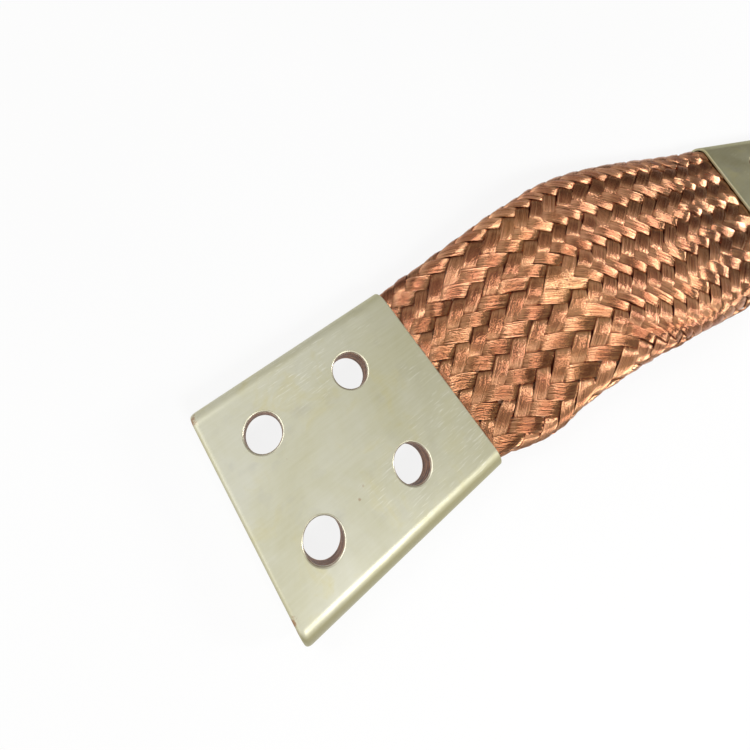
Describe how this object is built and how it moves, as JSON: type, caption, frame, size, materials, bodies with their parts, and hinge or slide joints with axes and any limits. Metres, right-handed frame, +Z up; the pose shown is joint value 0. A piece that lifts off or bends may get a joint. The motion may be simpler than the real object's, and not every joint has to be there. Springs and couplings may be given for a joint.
{
  "type": "flexible busbar braid",
  "caption": "Flexible copper link: a flattened tubular braid pressed at both ends into flat tinned tube ferrules with bolt holes in a square pattern.",
  "frame": {"origin": "centre of the near terminal's four bolt holes, on its underside", "axes": "+X from the near terminal into the braid, +Z up out of the terminals' faces, +Y to the left seen along +X"},
  "size_m": [0.3949, 0.1429, 0.0211],
  "materials": {
    "tinned_copper": "tin plate over copper, pale greenish grey, lightly brushed and scuffed, copper showing at a few edges",
    "bare_copper_braid": "bare bright copper wire, woven in bands, satin with hot highlights",
    "inner_copper_braid": "bare copper wire braid, duller than the outer one, pressed nearly solid inside the ferrules"
  },
  "bodies": {
    "root": {"ferrule_near": "tinned_copper", "ferrule_far": "tinned_copper", "braid_outer": "bare_copper_braid", "braid_end_near": "bare_copper_braid", "braid_end_far": "bare_copper_braid", "inner_braid_bottom": "inner_copper_braid", "inner_braid_middle": "inner_copper_braid", "inner_braid_top": "inner_copper_braid"}
  },
  "joints": []
}
